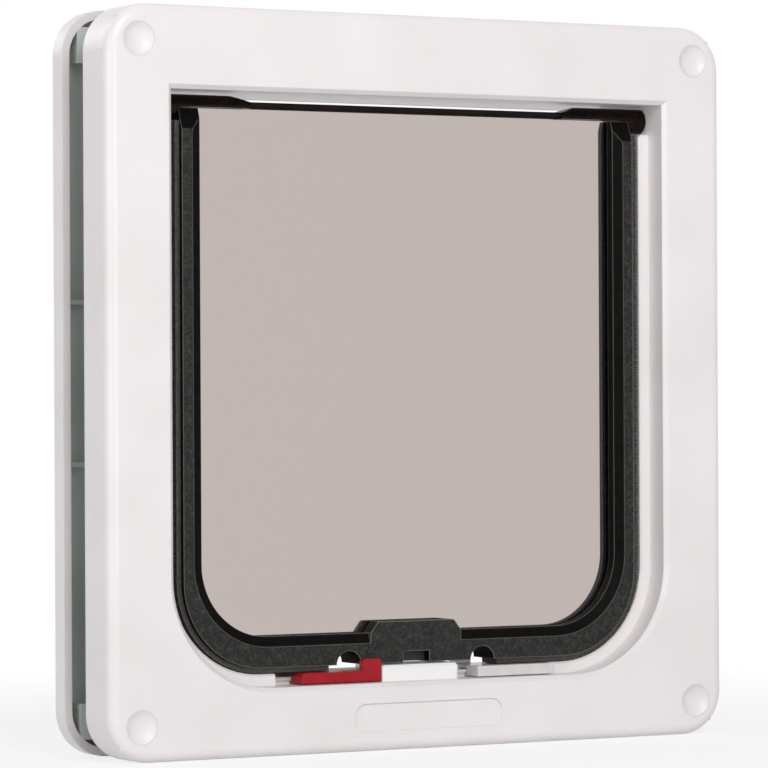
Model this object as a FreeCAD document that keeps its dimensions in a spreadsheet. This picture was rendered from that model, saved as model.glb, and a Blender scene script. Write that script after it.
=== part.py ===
import FreeCAD, Part
import math
import os
import Sketcher

# Cat flap for a door: an inner and an outer frame screwed together through the door, a smoked
# pane hung in a black surround, and two sliding catches that stop it from swinging each way.
# X runs across the flap, Y runs through the door from the room side outwards, Z runs up.
# The origin is under the middle of the whole flap, on the surface that it stands on.

doc = FreeCAD.newDocument("cat_flap")
sheet = doc.addObject("Spreadsheet::Sheet", "Sizes")


class Size:
    """A length that carries both its number and the sheet expression that gives it."""

    def __init__(self, number, text):
        self.number = number
        self.text = text

    def __add__(self, other):
        other = as_size(other)
        return Size(self.number + other.number, f"({self.text} + {other.text})")

    def __sub__(self, other):
        other = as_size(other)
        return Size(self.number - other.number, f"({self.text} - {other.text})")

    def __mul__(self, other):
        other = as_size(other)
        return Size(self.number * other.number, f"({self.text} * {other.text})")

    def __truediv__(self, other):
        other = as_size(other)
        return Size(self.number / other.number, f"({self.text} / {other.text})")

    def __neg__(self):
        return Size(-self.number, f"(-{self.text})")


def as_size(value):
    if isinstance(value, Size):
        return value
    return Size(float(value), f"({float(value)})")


def size(name, number):
    """Writes one driving dimension into the next row of the sheet."""
    row = size.rows = size.rows + 1
    sheet.set(f"A{row}", name)
    sheet.set(f"B{row}", str(number))
    sheet.setAlias(f"B{row}", name)
    return Size(number, f"{sheet.Name}.{name}")


size.rows = 0

# Frames, seen from the front
frame_width = size("frame_width", 196.0)
frame_height = size("frame_height", 202.0)
frame_corner = size("frame_corner", 12.5)
side_border = size("side_border", 19.6)
top_border = size("top_border", 22.5)
bottom_border = size("bottom_border", 18.6)
opening_corner = size("opening_corner", 30.0)

# Frames, through the door
front_depth = size("front_depth", 14.3)
door_thickness = size("door_thickness", 13.0)
rear_depth = size("rear_depth", 7.2)
front_plate = size("front_plate", 2.6)
rear_plate = size("rear_plate", 2.3)
rim_wall = size("rim_wall", 2.3)
front_round = size("front_round", 3.0)
rear_bevel = size("rear_bevel", 1.6)
opening_bevel = size("opening_bevel", 1.2)

# Sleeves that line the hole in the door: the outer one slides over the inner one
sleeve_wall = size("sleeve_wall", 2.0)
rear_sleeve_wall = size("rear_sleeve_wall", 1.7)
sleeve_clearance = size("sleeve_clearance", 0.2)
sleeve_end_gap = size("sleeve_end_gap", 0.8)
rear_sleeve_length = size("rear_sleeve_length", 14.5)

# Stiffening inside the hollow frames
rib_thickness = size("rib_thickness", 1.4)
rib_drop = size("rib_drop", 2.5)
rib_pitch = size("rib_pitch", 44.0)
name_panel_width = size("name_panel_width", 47.0)
name_panel_height = size("name_panel_height", 7.5)
name_panel_corner = size("name_panel_corner", 3.4)
name_panel_depth = size("name_panel_depth", 0.4)

# Screws and their caps
screw_inset = size("screw_inset", 9.6)
screw_radius = size("screw_radius", 1.9)
screw_head_radius = size("screw_head_radius", 3.5)
screw_head_height = size("screw_head_height", 2.4)
screw_clearance = size("screw_clearance", 0.25)
screw_bite = size("screw_bite", 4.8)
thread_clearance = size("thread_clearance", 0.05)
head_well_depth = size("head_well_depth", 6.3)
post_wall = size("post_wall", 1.4)
cap_radius = size("cap_radius", 4.5)
cap_clearance = size("cap_clearance", 0.08)
cap_thickness = size("cap_thickness", 1.6)
cap_recess = size("cap_recess", 0.6)

# Ledge that the flap closes against
ledge_front = size("ledge_front", 8.0)
ledge_depth = size("ledge_depth", 12.0)
ledge_height = size("ledge_height", 3.2)
ledge_bevel = size("ledge_bevel", 0.6)

# Flap
hinge_depth = size("hinge_depth", 12.5)
hinge_drop = size("hinge_drop", 4.1)
barrel_radius = size("barrel_radius", 3.5)
barrel_reach = size("barrel_reach", 28.0)
barrel_slope = size("barrel_slope", 5.5)
pane_thickness = size("pane_thickness", 3.0)
pane_above_hinge = size("pane_above_hinge", 1.8)
pane_bead_height = size("pane_bead_height", 1.3)
pane_bead_depth = size("pane_bead_depth", 4.6)
pane_corner = size("pane_corner", 21.0)
pane_bite = size("pane_bite", 4.2)
surround_depth = size("surround_depth", 11.0)
surround_side_gap = size("surround_side_gap", 6.2)
surround_floor_gap = size("surround_floor_gap", 4.9)
surround_width = size("surround_width", 6.0)
surround_sill = size("surround_sill", 8.5)
surround_corner = size("surround_corner", 23.8)
surround_inner_corner = size("surround_inner_corner", 20.0)
surround_bevel = size("surround_bevel", 2.8)
surround_bevel_depth = size("surround_bevel_depth", 1.2)
surround_head_depth = size("surround_head_depth", 6.6)
surround_head_taper = size("surround_head_taper", 9.0)
pane_slot_clearance = size("pane_slot_clearance", 0.05)
moving_gap = size("moving_gap", 0.3)
overcut = size("overcut", 2.0)
brush_groove = size("brush_groove", 0.8)
brush_width = size("brush_width", 8.0)
brush_past_corner = size("brush_past_corner", 21.4)
pin_radius = size("pin_radius", 1.25)
pin_clearance = size("pin_clearance", 0.05)
pin_in_flap = size("pin_in_flap", 4.4)
pin_in_frame = size("pin_in_frame", 2.8)
pivot_boss_half = size("pivot_boss_half", 3.5)
pivot_boss_height = size("pivot_boss_height", 1.8)

# Lock: two catches slide on rails in the sill, one each side of a bridge with a magnet in it
bridge_half = size("bridge_half", 12.2)
bridge_front = size("bridge_front", 4.5)
bridge_depth = size("bridge_depth", 16.0)
bridge_height = size("bridge_height", 4.5)
bridge_bevel = size("bridge_bevel", 0.9)
bridge_key_half = size("bridge_key_half", 4.0)
bridge_key_depth = size("bridge_key_depth", 1.8)
bridge_key_pitch = size("bridge_key_pitch", 11.6)
catch_length = size("catch_length", 25.0)
catch_travel = size("catch_travel", 6.0)
catch_height = size("catch_height", 3.2)
catch_tab_width = size("catch_tab_width", 5.8)
catch_tab_height = size("catch_tab_height", 6.4)
catch_tab_depth = size("catch_tab_depth", 2.0)
catch_round = size("catch_round", 0.9)
catch_gap = size("catch_gap", 0.25)
notch_clearance = size("notch_clearance", 0.95)
rail_web = size("rail_web", 1.4)
rail_web_height = size("rail_web_height", 1.1)
rail_head = size("rail_head", 3.0)
rail_head_height = size("rail_head_height", 0.9)
magnet_half = size("magnet_half", 8.0)
magnet_depth = size("magnet_depth", 6.8)
magnet_height = size("magnet_height", 1.9)
magnet_clearance = size("magnet_clearance", 0.1)
housing_half = size("housing_half", 14.5)
housing_top_half = size("housing_top_half", 12.2)
housing_rise = size("housing_rise", 3.0)
housing_round = size("housing_round", 1.0)
flap_magnet_half = size("flap_magnet_half", 4.1)
flap_magnet_height = size("flap_magnet_height", 2.7)
flap_magnet_depth = size("flap_magnet_depth", 6.0)
flap_magnet_inset = size("flap_magnet_inset", 0.3)

# Places worked out from the sizes, measured from the middle of the frame's front face
total_depth = front_depth + door_thickness + rear_depth
frame_half = frame_width / 2
frame_top = frame_height / 2
opening_half = frame_half - side_border
opening_top = frame_top - top_border
opening_floor = bottom_border - frame_top
rear_start = front_depth + door_thickness
sleeve_length = total_depth - rear_plate - sleeve_end_gap
rear_sleeve_start = total_depth - rear_sleeve_length
screw_x = frame_half - screw_inset
screw_z = frame_top - screw_inset
screw_places = [
    ("top_left", -screw_x, screw_z),
    ("top_right", screw_x, screw_z),
    ("bottom_left", -screw_x, -screw_z),
    ("bottom_right", screw_x, -screw_z),
]
hinge_height = opening_top - hinge_drop
barrel_end = opening_half - moving_gap
surround_half = opening_half - surround_side_gap
surround_floor = opening_floor + surround_floor_gap
brush_end = surround_half - surround_corner - brush_past_corner
surround_front = hinge_depth - surround_depth / 2
surround_top = hinge_height - moving_gap
pane_half = surround_half - surround_width + pane_bite
pane_floor = surround_floor + surround_sill - pane_bite
knuckle_start = surround_half + moving_gap
ledge_half = opening_half - ledge_height
ledge_floor = opening_floor + ledge_height
ledge_top = hinge_height - barrel_radius - moving_gap
catch_front = bridge_front + catch_gap
catch_depth = bridge_depth - catch_gap * 2
catch_inner = bridge_half + moving_gap
bay_half = catch_inner + catch_length + catch_travel + moving_gap
notch_place = catch_inner + catch_travel + catch_tab_width / 2
notch_radius = catch_tab_width / 2 + notch_clearance


def bind(thing, path, value):
    """Sets one property from a size and keeps it tied to the sheet."""
    value = as_size(value)
    thing.setExpression(path, value.text)


def new_body(name, x=0, y=None, z=None):
    """Starts a sub-part whose local origin is the middle of the frame's front face."""
    body = doc.addObject("PartDesign::Body", name)
    body.Label = name
    bind(body, "Placement.Base.x", x)
    bind(body, "Placement.Base.y", (y or as_size(0)) - total_depth / 2)
    bind(body, "Placement.Base.z", (z or as_size(0)) + frame_height / 2)
    return body


def sketch_on(body, name, plane, distance=0):
    """A sketch on one of the body's origin planes, moved along +X, +Y or +Z by a distance."""
    sketch = body.newObject("Sketcher::SketchObject", f"{body.Name}_{name}")
    role = {"front": "XZ_Plane", "side": "YZ_Plane", "top": "XY_Plane"}[plane]
    support = next(f for f in body.Origin.OriginFeatures if f.Role == role)
    sketch.AttachmentSupport = [(support, "")]
    sketch.MapMode = "FlatFace"
    distance = as_size(distance)
    bind(sketch, "AttachmentOffset.Base.z", -distance if plane == "front" else distance)
    return sketch


def hold(sketch, kind, *references, value):
    """Adds a dimension and ties it to the sheet."""
    value = as_size(value)
    index = sketch.addConstraint(Sketcher.Constraint(kind, *references, value.number))
    sketch.setExpression(f"Constraints[{index}]", value.text)


def place_point(sketch, geometry, point, x, y):
    hold(sketch, "DistanceX", geometry, point, value=x)
    hold(sketch, "DistanceY", geometry, point, value=y)


def circle(sketch, x, y, radius):
    centre = FreeCAD.Vector(as_size(x).number, as_size(y).number, 0)
    axis = FreeCAD.Vector(0, 0, 1)
    ring = sketch.addGeometry(Part.Circle(centre, axis, radius.number), False)
    place_point(sketch, ring, 3, x, y)
    hold(sketch, "Radius", ring, value=radius)


def half_disc(sketch, x, y, radius):
    """The upper half of a disc about a point."""
    centre = FreeCAD.Vector(x.number, y.number, 0)
    full = Part.Circle(centre, FreeCAD.Vector(0, 0, 1), radius.number)
    arc = sketch.addGeometry(Part.ArcOfCircle(full, 0, math.pi), False)
    reach = FreeCAD.Vector(radius.number, 0, 0)
    flat = sketch.addGeometry(Part.LineSegment(centre - reach, centre + reach), False)
    place_point(sketch, arc, 3, x, y)
    hold(sketch, "Radius", arc, value=radius)
    hold(sketch, "DistanceY", arc, 1, value=y)
    hold(sketch, "DistanceY", arc, 2, value=y)
    sketch.addConstraint(Sketcher.Constraint("Coincident", flat, 1, arc, 2))
    sketch.addConstraint(Sketcher.Constraint("Coincident", flat, 2, arc, 1))


def outline(sketch, corners):
    """Draws a closed outline through corners given as x, y and, where it is rounded, a radius."""
    places = [FreeCAD.Vector(as_size(c[0]).number, as_size(c[1]).number, 0) for c in corners]
    radii = [as_size(c[2]) if len(c) > 2 else None for c in corners]
    count = len(corners)
    entries = []
    exits = []
    arcs = []
    for i in range(count):
        here = places[i]
        back = (places[i - 1] - here).normalize()
        ahead = (places[(i + 1) % count] - here).normalize()
        if radii[i] is None:
            entries.append(here)
            exits.append(here)
            arcs.append(None)
            continue
        half_angle = back.getAngle(ahead) / 2
        reach = radii[i].number / math.tan(half_angle)
        entries.append(here + back * reach)
        exits.append(here + ahead * reach)
        centre = here + (back + ahead).normalize() * (radii[i].number / math.sin(half_angle))
        turns_left = (back * -1).cross(ahead).z > 0
        first, last = (entries[i], exits[i]) if turns_left else (exits[i], entries[i])
        start = math.atan2(first.y - centre.y, first.x - centre.x)
        end = math.atan2(last.y - centre.y, last.x - centre.x)
        if end < start:
            end += 2 * math.pi
        arcs.append((Part.Circle(centre, FreeCAD.Vector(0, 0, 1), radii[i].number), start, end, turns_left))
    lines = []
    for i in range(count):
        side = Part.LineSegment(exits[i], entries[(i + 1) % count])
        lines.append(sketch.addGeometry(side, False))
    for i in range(count):
        into = lines[i - 1]
        out = lines[i]
        if arcs[i] is None:
            sketch.addConstraint(Sketcher.Constraint("Coincident", into, 2, out, 1))
            place_point(sketch, into, 2, corners[i][0], corners[i][1])
            continue
        full, start, end, turns_left = arcs[i]
        arc = sketch.addGeometry(Part.ArcOfCircle(full, start, end), False)
        corner = sketch.addGeometry(Part.Point(places[i]), True)
        place_point(sketch, corner, 1, corners[i][0], corners[i][1])
        sketch.addConstraint(Sketcher.Constraint("PointOnObject", corner, 1, into))
        sketch.addConstraint(Sketcher.Constraint("PointOnObject", corner, 1, out))
        arc_in, arc_out = (1, 2) if turns_left else (2, 1)
        sketch.addConstraint(Sketcher.Constraint("Tangent", into, 2, arc, arc_in))
        sketch.addConstraint(Sketcher.Constraint("Tangent", arc, arc_out, out, 1))
        hold(sketch, "Radius", arc, value=radii[i])


def rectangle(sketch, left, right, low, high, radius=None):
    corners = [(left, low), (right, low), (right, high), (left, high)]
    if radius is not None:
        corners = [corner + (radius,) for corner in corners]
    outline(sketch, corners)


def settle(body, feature, grows):
    """Recomputes and makes sure that the feature did what it is there for."""
    before = settle.volumes.get(body.Name, 0.0)
    doc.recompute()
    after = feature.Shape.Volume
    if grows is not None and (after > before + 1e-6) != grows:
        raise RuntimeError(f"{feature.Name} changed the volume from {before:.3f} to {after:.3f}")
    settle.volumes[body.Name] = after
    return feature


settle.volumes = {}


def pad(body, sketch, length, toward_plus=True, inwards=None):
    """Adds material along +X, +Y or +Z from the sketch, or the other way, drawn in as it goes."""
    feature = body.newObject("PartDesign::Pad", f"{sketch.Name}_pad")
    feature.Profile = sketch
    bind(feature, "Length", length)
    feature.Reversed = toward_plus == faces_minus(sketch)
    if inwards is not None:
        bind(feature, "TaperAngle", slant(inwards, length))
    return settle(body, feature, True)


def pocket(body, sketch, length, toward_plus=True, inwards=None):
    """Cuts material along +X, +Y or +Z from the sketch, or the other way, drawn in as it goes."""
    feature = body.newObject("PartDesign::Pocket", f"{sketch.Name}_pocket")
    feature.Profile = sketch
    bind(feature, "Length", length)
    feature.Reversed = toward_plus != faces_minus(sketch)
    if inwards is not None:
        bind(feature, "TaperAngle", slant(inwards, length))
    return settle(body, feature, False)


def slant(inwards, length):
    """The angle at which an outline draws in by a distance over a length."""
    angle = math.degrees(math.atan2(inwards.number, length.number))
    return Size(-angle, f"(-atan({inwards.text} / {length.text}))")


def faces_minus(sketch):
    """A sketch on the front plane faces -Y; the others face along their axis."""
    return sketch.AttachmentSupport[0][0].Role == "XZ_Plane"


def edges_where(shape, wanted):
    return [f"Edge{i + 1}" for i, edge in enumerate(shape.Edges) if wanted(edge.BoundBox)]


def fillet(body, name, radius, wanted):
    """Rounds the edges whose bounding boxes are wanted."""
    base = body.Tip
    feature = body.newObject("PartDesign::Fillet", f"{body.Name}_{name}")
    feature.Base = (base, edges_where(base.Shape, wanted))
    bind(feature, "Radius", radius)
    return settle(body, feature, None)


def chamfer(body, name, reach, wanted):
    base = body.Tip
    feature = body.newObject("PartDesign::Chamfer", f"{body.Name}_{name}")
    feature.Base = (base, edges_where(base.Shape, wanted))
    bind(feature, "Size", reach)
    return settle(body, feature, False)


def at_depth(box, depth, slack=0.01):
    return abs(box.YMin - depth.number) < slack and abs(box.YMax - depth.number) < slack


def revolve(body, sketch):
    """Turns a profile about the sketch's own vertical axis."""
    feature = body.newObject("PartDesign::Revolution", f"{sketch.Name}_turned")
    feature.Profile = sketch
    feature.ReferenceAxis = (sketch, ["V_Axis"])
    feature.Angle = 360.0
    return settle(body, feature, True)


def frame_outline(sketch, inset=0):
    """The rounded outline that both frames share, or one set in from it."""
    half = frame_half - inset
    top = frame_top - inset
    rectangle(sketch, -half, half, -top, top, frame_corner - inset)


def opening_outline(sketch, spread=0):
    """The opening that the cat goes through, square above and round below, or one round it."""
    half = opening_half + spread
    floor = opening_floor - spread
    top = opening_top + spread
    low_corner = opening_corner + spread
    corners = [(-half, top), (-half, floor, low_corner), (half, floor, low_corner), (half, top)]
    outline(sketch, corners)


def four_circles(sketch, radius):
    for _, x, z in screw_places:
        circle(sketch, x, z, radius)


def four_squares(sketch, half):
    for _, x, z in screw_places:
        rectangle(sketch, x - half, x + half, z - half, z + half)


def frame_ribs(body, inner_half, inner_top, inner_floor, start, length):
    """Short ribs that tie the rim of a frame to its sleeve, two to a side."""
    sketch = sketch_on(body, "ribs", "front", start)
    bite = rim_wall / 2
    outer_half = frame_half - rim_wall + bite
    outer_top = frame_top - rim_wall + bite
    for side in (-1, 1):
        middle = rib_pitch / 2 * side
        low = middle - rib_thickness / 2
        high = middle + rib_thickness / 2
        rectangle(sketch, -outer_half, -inner_half, low, high)
        rectangle(sketch, inner_half, outer_half, low, high)
        rectangle(sketch, low, high, inner_top, outer_top)
        rectangle(sketch, low, high, -outer_top, inner_floor)
    pad(body, sketch, length)


def make_front_frame():
    body = new_body("front_frame")
    face = sketch_on(body, "face", "front")
    frame_outline(face)
    pad(body, face, front_depth)
    fillet(body, "front_edge", front_round, lambda box: at_depth(box, as_size(0)))

    hollow = sketch_on(body, "hollow", "front", front_plate)
    frame_outline(hollow, rim_wall)
    opening_outline(hollow, sleeve_wall)
    pocket(body, hollow, front_depth - front_plate)

    sleeve = sketch_on(body, "sleeve", "front", front_depth - rim_wall)
    opening_outline(sleeve, sleeve_wall)
    pad(body, sleeve, sleeve_length - front_depth + rim_wall)

    posts = sketch_on(body, "screw_posts", "front", front_plate / 2)
    four_squares(posts, cap_radius + cap_clearance + post_wall)
    pad(body, posts, front_depth - front_plate / 2)

    bite = sleeve_wall / 2
    inner_half = opening_half + bite
    inner_top = opening_top + bite
    inner_floor = opening_floor - bite
    rib_length = front_depth - front_plate / 2 - rib_drop
    frame_ribs(body, inner_half, inner_top, inner_floor, front_plate / 2, rib_length)
    for side in (-1, 1):
        boss = sketch_on(body, f"pivot_boss_{side + 1}", "side", (opening_half + bite) * side)
        front = hinge_depth - pivot_boss_half
        low = hinge_height - pivot_boss_half
        rectangle(boss, front, front + pivot_boss_half * 2, low, low + pivot_boss_half * 2)
        pad(body, boss, sleeve_wall - bite + pivot_boss_height, toward_plus=side > 0)

    opening = sketch_on(body, "opening", "front")
    opening_outline(opening)
    pocket(body, opening, sleeve_length)

    def round_the_opening(box):
        inside = max(abs(box.XMin), abs(box.XMax)) < opening_half.number + 0.01
        return at_depth(box, as_size(0)) and inside

    chamfer(body, "opening_edge", opening_bevel, round_the_opening)

    wells = sketch_on(body, "screw_wells", "front")
    four_circles(wells, cap_radius + cap_clearance)
    pocket(body, wells, head_well_depth)
    holes = sketch_on(body, "screw_holes", "front")
    four_circles(holes, screw_radius + screw_clearance)
    pocket(body, holes, front_depth)

    panel = sketch_on(body, "name_panel", "front")
    panel_middle = (opening_floor - frame_top) / 2
    half_width = name_panel_width / 2
    half_height = name_panel_height / 2
    low = panel_middle - half_height
    high = panel_middle + half_height
    rectangle(panel, -half_width, half_width, low, high, name_panel_corner)
    pocket(body, panel, name_panel_depth)

    add_ledge(body)
    add_rails(body)

    for side in (-1, 1):
        hole = sketch_on(body, f"pivot_hole_{side + 1}", "side", opening_half * side)
        circle(hole, hinge_depth, hinge_height, pin_radius + pin_clearance)
        pocket(body, hole, pin_in_frame + moving_gap - pin_clearance, toward_plus=side > 0)
    return body


def ledge_outline(sketch):
    """A strip up both sides of the tunnel and round its floor, its outer edge sunk in the wall."""
    bite = sleeve_wall / 2
    outer_half = opening_half + bite
    outer_floor = opening_floor - bite
    outer_round = opening_corner + bite
    inner_round = opening_corner - ledge_height
    outline(sketch, [
        (-outer_half, ledge_top),
        (-outer_half, outer_floor, outer_round),
        (outer_half, outer_floor, outer_round),
        (outer_half, ledge_top),
        (ledge_half, ledge_top, ledge_height / 2),
        (ledge_half, ledge_floor, inner_round),
        (-ledge_half, ledge_floor, inner_round),
        (-ledge_half, ledge_top, ledge_height / 2),
    ])


def add_ledge(body):
    """A raised ledge round the sides and sill of the tunnel, cut away for the two catches."""
    bevel_end = ledge_front + ledge_bevel
    ledge = sketch_on(body, "ledge", "front", bevel_end)
    ledge_outline(ledge)
    pad(body, ledge, ledge_depth - ledge_bevel)
    front_bevel = sketch_on(body, "ledge_front", "front", bevel_end)
    ledge_outline(front_bevel)
    pad(body, front_bevel, ledge_bevel, toward_plus=False, inwards=ledge_bevel)
    bay = sketch_on(body, "latch_bay", "front", ledge_front)
    rectangle(bay, -bay_half, bay_half, opening_floor, ledge_floor + ledge_height)
    pocket(body, bay, ledge_depth)


def add_rails(body):
    """Two T-shaped rails on the sill that carry the catches."""
    for side in (-1, 1):
        rail = sketch_on(body, f"rail_{side + 1}", "side", bridge_half * side)
        web = rail_web / 2
        head = rail_head / 2
        root = opening_floor - sleeve_wall / 2
        neck = opening_floor + rail_web_height
        crown = neck + rail_head_height
        outline(rail, [
            (hinge_depth - web, root),
            (hinge_depth + web, root),
            (hinge_depth + web, neck),
            (hinge_depth + head, neck),
            (hinge_depth + head, crown),
            (hinge_depth - head, crown),
            (hinge_depth - head, neck),
            (hinge_depth - web, neck),
        ])
        pad(body, rail, bay_half - bridge_half, toward_plus=side > 0)
    keyways = sketch_on(body, "keyways", "top", opening_floor)
    bridge_keys(keyways, pin_clearance)
    pocket(body, keyways, sleeve_wall, toward_plus=False)


def bridge_keys(sketch, spread):
    """Two keys under the bridge, near its front and its back, or the keyways that hold them."""
    half = bridge_key_half + spread
    for place in (-1, 1):
        middle = bridge_front + bridge_depth / 2 + bridge_key_pitch / 2 * place
        reach = bridge_key_depth / 2 + spread
        rectangle(sketch, -half, half, middle - reach, middle + reach)


def make_rear_frame():
    body = new_body("rear_frame")
    face = sketch_on(body, "face", "front", rear_start)
    frame_outline(face)
    pad(body, face, rear_depth)
    chamfer(body, "rear_edge", rear_bevel, lambda box: at_depth(box, total_depth))

    spread = sleeve_wall + sleeve_clearance + rear_sleeve_wall
    hollow = sketch_on(body, "hollow", "front", rear_start)
    frame_outline(hollow, rim_wall)
    opening_outline(hollow, spread)
    pocket(body, hollow, rear_depth - rear_plate)

    sleeve = sketch_on(body, "sleeve", "front", rear_sleeve_start)
    opening_outline(sleeve, spread)
    pad(body, sleeve, rear_sleeve_length - rear_plate)

    posts = sketch_on(body, "screw_posts", "front", rear_start)
    four_squares(posts, screw_head_radius + post_wall)
    pad(body, posts, rear_depth - rear_plate / 2)
    half = opening_half + spread - rear_sleeve_wall / 2
    top = opening_top + spread - rear_sleeve_wall / 2
    floor = opening_floor - spread + rear_sleeve_wall / 2
    rib_length = rear_depth - rear_plate / 2 - rib_drop
    frame_ribs(body, half, top, floor, rear_start + rib_drop, rib_length)

    bore = sketch_on(body, "sleeve_bore", "front", rear_sleeve_start)
    opening_outline(bore, sleeve_wall + sleeve_clearance)
    pocket(body, bore, rear_sleeve_length - rear_plate)
    opening = sketch_on(body, "opening", "front", rear_sleeve_start)
    opening_outline(opening)
    pocket(body, opening, rear_sleeve_length)

    def round_the_opening(box):
        inside = max(abs(box.XMin), abs(box.XMax)) < opening_half.number + 0.01
        return at_depth(box, total_depth) and inside

    chamfer(body, "opening_edge", opening_bevel, round_the_opening)

    holes = sketch_on(body, "screw_holes", "front", rear_start)
    four_circles(holes, screw_radius + thread_clearance)
    pocket(body, holes, screw_bite + moving_gap)
    return body


def make_screw(place, x, z):
    """A cheese-head screw from the inner frame into the outer frame's post, its thread left smooth."""
    body = new_body(f"frame_screw_{place}", x, None, z)
    profile = sketch_on(body, "profile", "top")
    top = head_well_depth - screw_head_height
    tip = rear_start + screw_bite
    outline(profile, [
        (0, top),
        (screw_head_radius, top),
        (screw_head_radius, head_well_depth),
        (screw_radius, head_well_depth),
        (screw_radius, tip),
        (0, tip),
    ])
    revolve(body, profile)
    return body


def make_screw_cap(place, x, z):
    """A cap pressed into the mouth of a screw's well, a little below the face round it."""
    body = new_body(f"screw_cap_{place}", x, None, z)
    profile = sketch_on(body, "profile", "top")
    outline(profile, [
        (0, cap_recess),
        (cap_radius, cap_recess),
        (cap_radius, cap_recess + cap_thickness),
        (0, cap_recess + cap_thickness),
    ])
    revolve(body, profile)
    return body


def make_bridge():
    """The block between the catches, keyed to the sill, with a pocket for a magnet."""
    body = new_body("latch_bridge")
    top = opening_floor + bridge_height
    block = sketch_on(body, "block", "top", opening_floor)
    back = bridge_front + bridge_depth
    rectangle(block, -bridge_half, bridge_half, bridge_front, back, bridge_bevel)
    pad(body, block, bridge_height)

    def top_edge(box):
        return abs(box.ZMin - top.number) < 0.01

    chamfer(body, "top_bevel", bridge_bevel * 0.8, top_edge)
    magnet_pocket = sketch_on(body, "magnet_pocket", "top", opening_floor)
    half = magnet_half + magnet_clearance
    front = hinge_depth - magnet_depth / 2 - magnet_clearance
    rectangle(magnet_pocket, -half, half, front, hinge_depth * 2 - front)
    pocket(body, magnet_pocket, magnet_height + magnet_clearance)
    keys = sketch_on(body, "keys", "top", opening_floor)
    bridge_keys(keys, 0)
    pad(body, keys, sleeve_wall, toward_plus=False)
    return body


def make_block(name, half, front, back, low, high):
    """A plain rectangular block, such as a bar magnet."""
    body = new_body(name)
    base = sketch_on(body, "base", "top", low)
    rectangle(base, -half, half, front, back)
    pad(body, base, high - low)
    return body


def make_catch(name, side, start, tab_at_front):
    """A catch that slides on its rail, with a tab that stands in front of or behind the flap."""
    body = new_body(name)
    inner = start
    outer = start + catch_length
    floor = opening_floor + catch_gap
    top = opening_floor + catch_height
    tab_top = opening_floor + catch_tab_height
    tab_front = catch_front if tab_at_front else catch_front + catch_depth - catch_tab_depth
    bar_front = catch_front + catch_tab_depth if tab_at_front else catch_front
    bar = sketch_on(body, "bar", "front", bar_front)
    bar_corners = [(inner, floor), (outer, floor), (outer, top, catch_round), (inner, top)]
    outline(bar, [(corner[0] * side,) + corner[1:] for corner in bar_corners])
    pad(body, bar, catch_depth - catch_tab_depth)
    tab = sketch_on(body, "tab", "front", tab_front)
    tab_corners = [
        (inner, floor),
        (outer, floor),
        (outer, top, catch_round),
        (inner + catch_tab_width, top),
        (inner + catch_tab_width, tab_top, catch_round),
        (inner, tab_top, catch_round),
    ]
    outline(tab, [(corner[0] * side,) + corner[1:] for corner in tab_corners])
    pad(body, tab, catch_tab_depth)

    slot = sketch_on(body, "rail_slot", "side", inner * side)
    web = rail_web / 2 + catch_gap
    head = rail_head / 2 + catch_gap
    neck = opening_floor + rail_web_height - catch_gap
    crown = opening_floor + rail_web_height + rail_head_height + catch_gap
    outline(slot, [
        (hinge_depth - web, opening_floor),
        (hinge_depth + web, opening_floor),
        (hinge_depth + web, neck),
        (hinge_depth + head, neck),
        (hinge_depth + head, crown),
        (hinge_depth - head, crown),
        (hinge_depth - head, neck),
        (hinge_depth - web, neck),
    ])
    pocket(body, slot, catch_length, toward_plus=side > 0)
    return body


def make_pane():
    """The smoked pane, with a bead along its top and half-round barrels that hold the pivots."""
    body = new_body("flap_pane")
    plate = sketch_on(body, "plate", "front", hinge_depth - pane_thickness / 2)
    top = hinge_height + pane_above_hinge
    outline(plate, [
        (-pane_half, top),
        (-pane_half, pane_floor, pane_corner),
        (pane_half, pane_floor, pane_corner),
        (pane_half, top),
    ])
    pad(body, plate, pane_thickness)
    bead = sketch_on(body, "bead", "front", hinge_depth - pane_bead_depth / 2)
    rectangle(bead, -pane_half, pane_half, top - pane_bead_height, top)
    pad(body, bead, pane_bead_depth)
    for side in (-1, 1):
        inner = barrel_end - barrel_reach
        barrel = sketch_on(body, f"barrel_{side + 1}", "side", inner * side)
        half_disc(barrel, hinge_depth, hinge_height, barrel_radius)
        pad(body, barrel, barrel_reach, toward_plus=side > 0)
        knuckle = sketch_on(body, f"knuckle_{side + 1}", "side", knuckle_start * side)
        circle(knuckle, hinge_depth, hinge_height, barrel_radius)
        pad(body, knuckle, barrel_end - knuckle_start, toward_plus=side > 0)
        slope = sketch_on(body, f"slope_{side + 1}", "front", hinge_depth - barrel_radius)
        crown = hinge_height + barrel_radius
        corners = [(inner, top), (inner + barrel_slope, crown), (inner, crown)]
        outline(slope, [(corner[0] * side, corner[1]) for corner in corners])
        pocket(body, slope, barrel_radius * 2)
        bore = sketch_on(body, f"bore_{side + 1}", "side", barrel_end * side)
        circle(bore, hinge_depth, hinge_height, pin_radius + pin_clearance)
        pocket(body, bore, pin_in_flap + pin_clearance, toward_plus=side < 0)
    return body


def make_pin(name, side):
    """A steel pivot pin, held in the pane's knuckle and turning in the frame."""
    body = new_body(name)
    start = barrel_end - pin_in_flap
    end = opening_half + pin_in_frame
    section = sketch_on(body, "section", "side", start * side)
    circle(section, hinge_depth, hinge_height, pin_radius)
    pad(body, section, end - start, toward_plus=side > 0)
    return body


def brush_outline(sketch, side, outer_half, outer_floor, outer_round, inset, inset_round):
    """A J-shaped strip down one side of the surround, round its corner and along its sill."""
    inner_half = surround_half - inset
    inner_floor = surround_floor + inset
    end = ledge_top
    corners = [
        (outer_half, end),
        (outer_half, outer_floor, outer_round),
        (brush_end, outer_floor),
        (brush_end, inner_floor),
        (inner_half, inner_floor, inset_round),
        (inner_half, end),
    ]
    outline(sketch, [(corner[0] * side,) + corner[1:] for corner in corners])


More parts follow.
